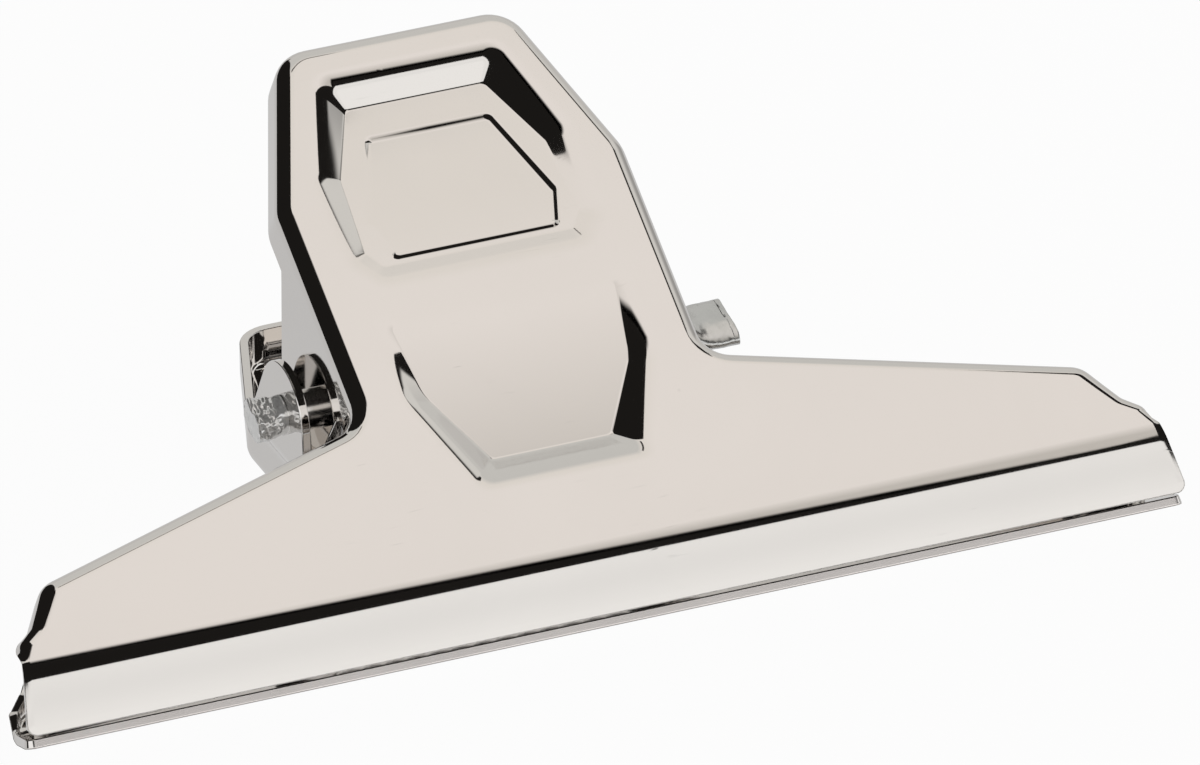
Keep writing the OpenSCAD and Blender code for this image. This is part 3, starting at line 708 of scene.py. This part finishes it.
def scuffGroup():
    # fine scratches, specks and smears of a handled plated surface
    group = bpy.data.node_groups.new("scuffs", "ShaderNodeTree")
    for name, value in (("Size", 1.0), ("Scratches", 0.5), ("Smears", 0.5), ("Specks", 0.5)):
        socket = group.interface.new_socket(name, in_out="INPUT", socket_type="NodeSocketFloat")
        socket.default_value = value
    for name in ("Scratch", "Smear", "Speck"):
        group.interface.new_socket(name, in_out="OUTPUT", socket_type="NodeSocketFloat")
    given, result = group.nodes.new("NodeGroupInput"), group.nodes.new("NodeGroupOutput")
    place = addNode(group, "ShaderNodeTexCoord")
    scaled = addNode(group, "ShaderNodeVectorMath", {0: place.outputs["Object"],
                                                     "Scale": given.outputs["Size"]}, operation="SCALE")

    def shown(value, limits):
        return addNode(group, "ShaderNodeMapRange", {"Value": value, "From Min": limits[0],
                                                     "From Max": limits[1]}).outputs[0]

    scratches = None
    for turn, narrow in scuff["sets"]:
        turned = addNode(group, "ShaderNodeMapping", {
            "Vector": scaled.outputs[0], "Rotation": (scuff["tilt"], 0.0, turn),
            "Scale": (scuff["fine"] * narrow, scuff["fine"], scuff["deep"])})
        noise = addNode(group, "ShaderNodeTexNoise", {"Vector": turned.outputs[0], "Scale": 1.0,
                                                      "Detail": 2.0, "Roughness": 0.6})
        lines = shown(noise.outputs["Fac"], scuff["scratch"])
        scratches = lines if scratches is None else addNode(
            group, "ShaderNodeMath", {0: scratches, 1: lines}, operation="MAXIMUM").outputs[0]
    patch = addNode(group, "ShaderNodeTexNoise", {"Vector": scaled.outputs[0],
                                                  "Scale": scuff["patchScale"], "Detail": 3.0})
    smear = addNode(group, "ShaderNodeTexNoise", {
        "Vector": scaled.outputs[0], "Scale": scuff["smearScale"], "Detail": 5.0,
        "Roughness": 0.62, "Distortion": 0.6})
    speck = addNode(group, "ShaderNodeTexVoronoi", {"Vector": scaled.outputs[0],
                                                    "Scale": scuff["speckScale"]}, feature="F1")
    inPatches = times(group, scratches, shown(patch.outputs["Fac"], scuff["patch"]))
    feed(group, result, {
        "Scratch": times(group, inPatches, given.outputs["Scratches"]),
        "Smear": times(group, shown(smear.outputs["Fac"], scuff["smear"]), given.outputs["Smears"]),
        "Speck": times(group, shown(speck.outputs["Distance"], scuff["speck"]), given.outputs["Specks"])})
    return group


# Finishes: metal's colour, that of its scuffs, its roughness where clean and where
# smeared, the strength of each kind of wear and of the slow wave, the wear's fineness and
# how much of a smear darkens the colour
finishes = {
    "nickelPlate": {"color": (0.80, 0.775, 0.752), "dark": (0.52, 0.50, 0.48), "rough": (0.05, 0.12),
                    "bump": 0.35, "scratches": 0.3, "smears": 0.5, "specks": 0.35, "wave": 0.07,
                    "size": 1.0, "stain": 0.12, "metallic": 1.0},
    "bareEdge": {"color": (0.98, 0.93, 0.91), "dark": (0.86, 0.80, 0.78), "rough": (0.2, 0.34),
                 "bump": 0.25, "scratches": 0.5, "smears": 0.9, "specks": 0.5, "wave": 0.1,
                 "size": 2.0, "stain": 0.12, "metallic": 1.0},
    # painted shade: a near-black metal that stands in for the shadow in the seam where the lips meet
    "paintedSeamShade": {"color": (0.02, 0.018, 0.017), "dark": (0.012, 0.011, 0.010), "rough": (0.45, 0.7),
                  "bump": 0.6, "scratches": 0.3, "smears": 0.6, "specks": 0.6, "wave": 0.4,
                  "size": 2.0, "stain": 0.12, "metallic": 1.0},
    "zincWire": {"color": (0.93, 0.93, 0.92), "dark": (0.55, 0.55, 0.54), "rough": (0.18, 0.40),
                 "bump": 0.8, "scratches": 0.7, "smears": 0.8, "specks": 0.7, "wave": 0.9,
                 "size": 3.0, "stain": 0.5, "metallic": 1.0},
    "crushedZinc": {"color": (0.98, 0.98, 0.97), "dark": (0.70, 0.70, 0.69), "rough": (0.16, 0.32),
                    "bump": 1.0, "scratches": 0.5, "smears": 0.6, "specks": 0.5, "wave": 2.0,
                    "size": 3.0, "stain": 0.5, "metallic": 0.55},
    "fannedZinc": {"color": (0.66, 0.66, 0.65), "dark": (0.30, 0.30, 0.29), "rough": (0.22, 0.5),
                   "bump": 0.9, "scratches": 0.7, "smears": 1.0, "specks": 1.0, "wave": 0.9,
                   "size": 3.0, "stain": 0.5, "metallic": 1.0},
    "springWire": {"color": (0.50, 0.50, 0.51), "dark": (0.25, 0.25, 0.25), "rough": (0.2, 0.4),
                   "bump": 0.5, "scratches": 0.6, "smears": 0.6, "specks": 0.4, "wave": 0.2,
                   "size": 2.0, "stain": 0.12, "metallic": 1.0},
}
relief = {"scuffDepth": 0.00003, "waveDepth": 0.0002, "waveScale": 60.0}


def newMaterial(name):
    material = bpy.data.materials.new(name)
    material.use_nodes = True
    return material, material.node_tree, material.node_tree.nodes["Principled BSDF"]


def metal(name, scuffs):
    # scuffs darken the colour and dull the shine, and stand in relief on a slow wave
    look = finishes[name]
    material, tree, shader = newMaterial(name)
    worn = addNode(tree, "ShaderNodeGroup", {
        "Size": look["size"], "Scratches": look["scratches"], "Smears": look["smears"],
        "Specks": look["specks"]}, node_tree=scuffs)
    marks = addNode(tree, "ShaderNodeMath", {0: worn.outputs["Scratch"], 1: worn.outputs["Speck"]},
                    operation="MAXIMUM").outputs[0]
    stain = addNode(tree, "ShaderNodeMath", {0: worn.outputs["Smear"], 1: look["stain"], 2: marks},
                    operation="MULTIPLY_ADD").outputs[0]
    dull = addNode(tree, "ShaderNodeMapRange", {"Value": worn.outputs["Smear"],
                                                "To Min": look["rough"][0], "To Max": look["rough"][1]})
    scored = addNode(tree, "ShaderNodeBump", {"Strength": look["bump"], "Distance": relief["scuffDepth"],
                                              "Height": marks})
    place = addNode(tree, "ShaderNodeTexCoord")
    slow = addNode(tree, "ShaderNodeTexNoise", {"Vector": place.outputs["Object"],
                                                "Scale": relief["waveScale"], "Detail": 1.0})
    waved = addNode(tree, "ShaderNodeBump", {"Strength": look["wave"], "Distance": relief["waveDepth"],
                                             "Height": slow.outputs["Fac"],
                                             "Normal": scored.outputs["Normal"]})
    feed(tree, shader, {"Metallic": look["metallic"], "Roughness": dull.outputs[0],
                        "Base Color": blendColor(tree, stain, look["color"], look["dark"]),
                        "Normal": waved.outputs["Normal"]})
    return material


scuffs = scuffGroup()
metals = {name: metal(name, scuffs) for name in finishes}
print("materials made")

sheetMetals = [metals[name] for name in ("nickelPlate", "bareEdge", "paintedSeamShade")]
# the last argument lists the lip edge's bands with painted seam shade: all but the innermost on the front
# plate, one on the rear
plate("frontPlate", 0.0, False, "front", "front_plate", sheetMetals, (0, 1, 2, 3))
plate("rearPlate", lay["earGap"] + lay["sheet"], True, "rear", "rear_plate", sheetMetals, (3,))
print("plates made")
axlePiece([metals[name] for name in ("zincWire", "crushedZinc", "fannedZinc")])
springPiece(metals["springWire"])
print("axle and spring made")

# Camera, fitted to the photograph: the upright clip's point aim is seen at aimPixel, and
# scale is pixels per millimetre there. The clip range is in metres.
view = {"azimuth": 26.136, "elevation": -40.446, "roll": -29.463, "scale": 10.3975,
        "aim": (0, 0, 28), "aimPixel": (504.57, 425.08), "distance": 2000.0, "image": (1200, 765),
        "sensor": 36, "clip": (0.1, 20)}


def placeCamera():
    # axes from the three angles. Its place is aim, less aim's offset in the picture along
    # right and up, plus the distance back.
    azimuth, elevation, roll = (view[key] * radians for key in ("azimuth", "elevation", "roll"))
    back = np.array([-np.sin(azimuth) * np.cos(elevation), -np.cos(azimuth) * np.cos(elevation),
                     np.sin(elevation)])
    level = np.array([np.cos(azimuth), -np.sin(azimuth), 0.0])
    right = np.cos(roll) * level + np.sin(roll) * np.cross(back, level)
    up = -np.sin(roll) * level + np.cos(roll) * np.cross(back, level)
    x = (view["aimPixel"][0] - view["image"][0] / 2) / view["scale"]
    y = (view["image"][1] / 2 - view["aimPixel"][1]) / view["scale"]
    place = lying(np.array(view["aim"], float) - x * right - y * up + view["distance"] * back) * toMetres
    lens = bpy.data.cameras.new("camera")
    lens.sensor_width = view["sensor"]
    lens.lens = view["scale"] * view["distance"] / view["image"][0] * view["sensor"]
    lens.clip_start, lens.clip_end = view["clip"]
    camera = bpy.data.objects.new("camera", lens)
    columns = [lyingWay(right), lyingWay(up), lyingWay(back), place]
    camera.matrix_world = Matrix(np.vstack([np.stack(columns, 1), [0, 0, 0, 1]]).tolist())
    bpy.context.scene.collection.objects.link(camera)
    bpy.context.scene.camera = camera


placeCamera()
print("camera placed")

# Studio: colours, then each card's height or distance and outline, and the floor. A zone
# of the world is an axis, and the shares of a direction along it where the zone's colour
# starts and is full. Levels and fades of a card are set the same way.
studio = {"dark": (0.012, 0.011, 0.010), "white": (1.02, 1.02, 1.02), "back": (0.60, 0.59, 0.57),
          "backHigh": (0.80, 0.78, 0.75), "side": (0.38, 0.375, 0.365), "sideHigh": (0.74, 0.73, 0.70),
          "topNear": (0.922, 0.877, 0.839), "topMid": (0.87, 0.83, 0.78), "topFar": (0.655, 0.65, 0.625),
          "topLow": (0.64, 0.61, 0.57), "topHeight": 0.25,
          "topOutline": ((-0.04, 0.5), (-0.04, -0.045), (0.0, -0.072), (0.03, -0.10), (0.085, -0.165),
                         (0.15, -0.235), (0.17, -0.235), (0.172, -0.012), (0.156, 0.0), (0.152, 0.038),
                         (0.2, 0.085), (0.4, 0.17), (0.4, 0.5)),
          "toMid": (-0.03, 0.03), "toFar": (0.045, 0.10), "toLow": (-0.05, -0.13),
          "topFade": (-0.062, -0.034), "lineGap": 0.001,
          "lineOutline": ((-0.02, 0.046), (0.066, 0.046), (0.066, 0.06), (-0.02, 0.06)),
          "frontY": -0.35, "frontTop": 0.309, "frontLeft": -0.27, "frontRight": 0.9,
          "frontShaded": (0.2, 0.34), "frontTint": (1.0, 0.995, 0.98),
          "frontLevels": ((0, 1.0), (0.2, 1.0), (0.38, 0.88), (0.6, 1.04), (0.8, 0.7)),
          "floorHalf": 3.0, "floorColor": (0.9, 0.9, 0.9), "floorRough": 0.9,
          "floorSeen": 0.96, "floorShine": 0.62}
zones = {"left": ((-1, 0, 0), 0.15, 0.25), "above": ((0, 0, 1), 0.30, 0.34),
         "sideRise": ((0, 0, 1), 0.25, 0.62), "sideNear": ((1, -0.3, 0), 0.56, 0.60),
         "sideLevel": ((0, 1, 0), 0.03, 0.07), "sideFar": ((1, 2.2, 0), 1.26, 1.30),
         "backRise": ((0, 0, 1), 0.35, 0.75), "behind": ((0, 1, 0.35), 0.56, 0.60),
         "leftOf": ((-1, 0, 0), -0.03, 0.0), "nearLeft": ((-0.7, -0.6, -0.15), 0.57, 0.63)}


def makeWorld():
    # white round the floor, dark above and on the left, grey at the side and behind, and
    # white again near the camera's left
    world = bpy.data.worlds.new("world")
    bpy.context.scene.world = world
    world.use_nodes = True
    tree = world.node_tree
    way = addNode(tree, "ShaderNodeTexCoord").outputs["Generated"]

    def zone(base, name, color):
        # base turns to color as the direction's share along the zone's axis grows
        axis, low, high = zones[name]
        share = addNode(tree, "ShaderNodeVectorMath", {0: way, 1: axis}, operation="DOT_PRODUCT")
        grown = addNode(tree, "ShaderNodeMapRange", {"Value": share.outputs["Value"], "From Min": low,
                                                     "From Max": high}, interpolation_type="SMOOTHSTEP")
        return blendColor(tree, grown.outputs[0], base, color)

    side = zone(studio["side"], "sideRise", studio["sideHigh"])
    back = zone(studio["back"], "backRise", studio["backHigh"])
    sky = zone(studio["white"], "left", studio["dark"])
    sky = zone(sky, "above", studio["dark"])
    sky = zone(sky, "sideNear", zone(sky, "sideLevel", side))
    sky = zone(sky, "sideFar", side)
    sky = zone(sky, "behind", back)
    sky = zone(sky, "leftOf", studio["dark"])
    sky = zone(sky, "nearLeft", studio["white"])
    feed(tree, tree.nodes["Background"], {"Color": sky})


def glow(name, color):
    # material that only gives light, of one colour
    material = bpy.data.materials.new(name)
    material.use_nodes = True
    tree = material.node_tree
    tree.nodes.clear()
    light = addNode(tree, "ShaderNodeEmission", {"Color": (*color, 1), "Strength": 1.0})
    addNode(tree, "ShaderNodeOutputMaterial", {"Surface": light.outputs[0]})
    return material, tree, light


def places(tree):
    # the object's own X, Y and Z
    place = addNode(tree, "ShaderNodeTexCoord")
    return addNode(tree, "ShaderNodeSeparateXYZ", {0: place.outputs["Object"]}).outputs


def between(tree, value, limits):
    # 0 at the first limit and 1 at the second
    return addNode(tree, "ShaderNodeMapRange", {"Value": value, "From Min": limits[0],
                                                "From Max": limits[1]})


def stageMesh(name, points, material, seen=False):
    # one flat face of the studio, which the camera sees only if seen is set
    mesh = bpy.data.meshes.new(name)
    mesh.from_pydata(points, [], [list(range(len(points)))])
    mesh.materials.append(material)
    obj = bpy.data.objects.new(name, mesh)
    obj.visible_camera = seen
    bpy.context.scene.collection.objects.link(obj)


def frontCard():
    # upright white card before the clip, shaded towards its top
    material, tree, light = glow("frontGlow", studio["white"])
    shade = addNode(tree, "ShaderNodeValToRGB")
    shade.color_ramp.interpolation = "B_SPLINE"
    for at, level in studio["frontLevels"]:
        stop = shade.color_ramp.elements[0] if at == 0 else shade.color_ramp.elements.new(at)
        stop.color = (*(level * tint for tint in studio["frontTint"]), 1)
    feed(tree, shade, {0: between(tree, places(tree)["Z"], studio["frontShaded"]).outputs[0]})
    feed(tree, light, {"Color": shade.outputs[0]})
    low = [(x, studio["frontY"], 0.0) for x in (studio["frontLeft"], studio["frontRight"])]
    high = [(x, studio["frontY"], studio["frontTop"]) for x in (studio["frontRight"], studio["frontLeft"])]
    stageMesh("frontCard", low + high, material)


def topCard():
    # level card over the clip, dimmer at both ends, that fades out to its near left
    material, tree, light = glow("topGlow", studio["topNear"])
    at = places(tree)
    near = blendColor(tree, between(tree, at["Y"], studio["toLow"]).outputs[0],
                      studio["topNear"], studio["topLow"])
    mid = blendColor(tree, between(tree, at["Y"], studio["toMid"]).outputs[0], near, studio["topMid"])
    far = blendColor(tree, between(tree, at["Y"], studio["toFar"]).outputs[0], mid, studio["topFar"])
    across = addNode(tree, "ShaderNodeMath", {0: at["X"], 1: at["Y"]}, operation="ADD")
    fade = between(tree, across.outputs[0], studio["topFade"])
    fade.interpolation_type = "SMOOTHSTEP"
    feed(tree, light, {"Color": far, "Strength": fade.outputs[0]})
    stageMesh("topCard", [(x, y, studio["topHeight"]) for x, y in studio["topOutline"]], material)


def lineCard():
    # dark strip just under the top card, which draws the line across the handle
    height = studio["topHeight"] - studio["lineGap"]
    stageMesh("lineCard", [(x, y, height) for x, y in studio["lineOutline"]],
              glow("lineGlow", studio["dark"])[0])


def floor():
    # white to the camera and light grey in mirrors, but plain paint to all other light
    material, tree, shader = newMaterial("floorPaint")
    feed(tree, shader, {"Base Color": (*studio["floorColor"], 1), "Roughness": studio["floorRough"]})
    ray = addNode(tree, "ShaderNodeLightPath").outputs
    seen = addNode(tree, "ShaderNodeMath", {0: ray["Is Camera Ray"], 1: ray["Is Glossy Ray"]},
                   operation="MAXIMUM")
    level = addNode(tree, "ShaderNodeMapRange", {"Value": ray["Is Camera Ray"],
                                                 "To Min": studio["floorShine"], "To Max": 1.0})
    light = addNode(tree, "ShaderNodeEmission", {"Color": (1, 1, 1, 1), "Strength": level.outputs[0]})
    both = addNode(tree, "ShaderNodeMixShader", {0: times(tree, seen.outputs[0], studio["floorSeen"]),
                                                 1: shader.outputs[0], 2: light.outputs[0]})
    feed(tree, tree.nodes["Material Output"], {"Surface": both.outputs[0]})
    half = studio["floorHalf"]
    stageMesh("floor", [(-half, -half, 0), (half, -half, 0), (half, half, 0), (-half, half, 0)], material,
              seen=True)


bpy.context.scene.view_settings.view_transform = "Standard"
makeWorld()
frontCard()
topCard()
lineCard()
floor()
print("studio made")
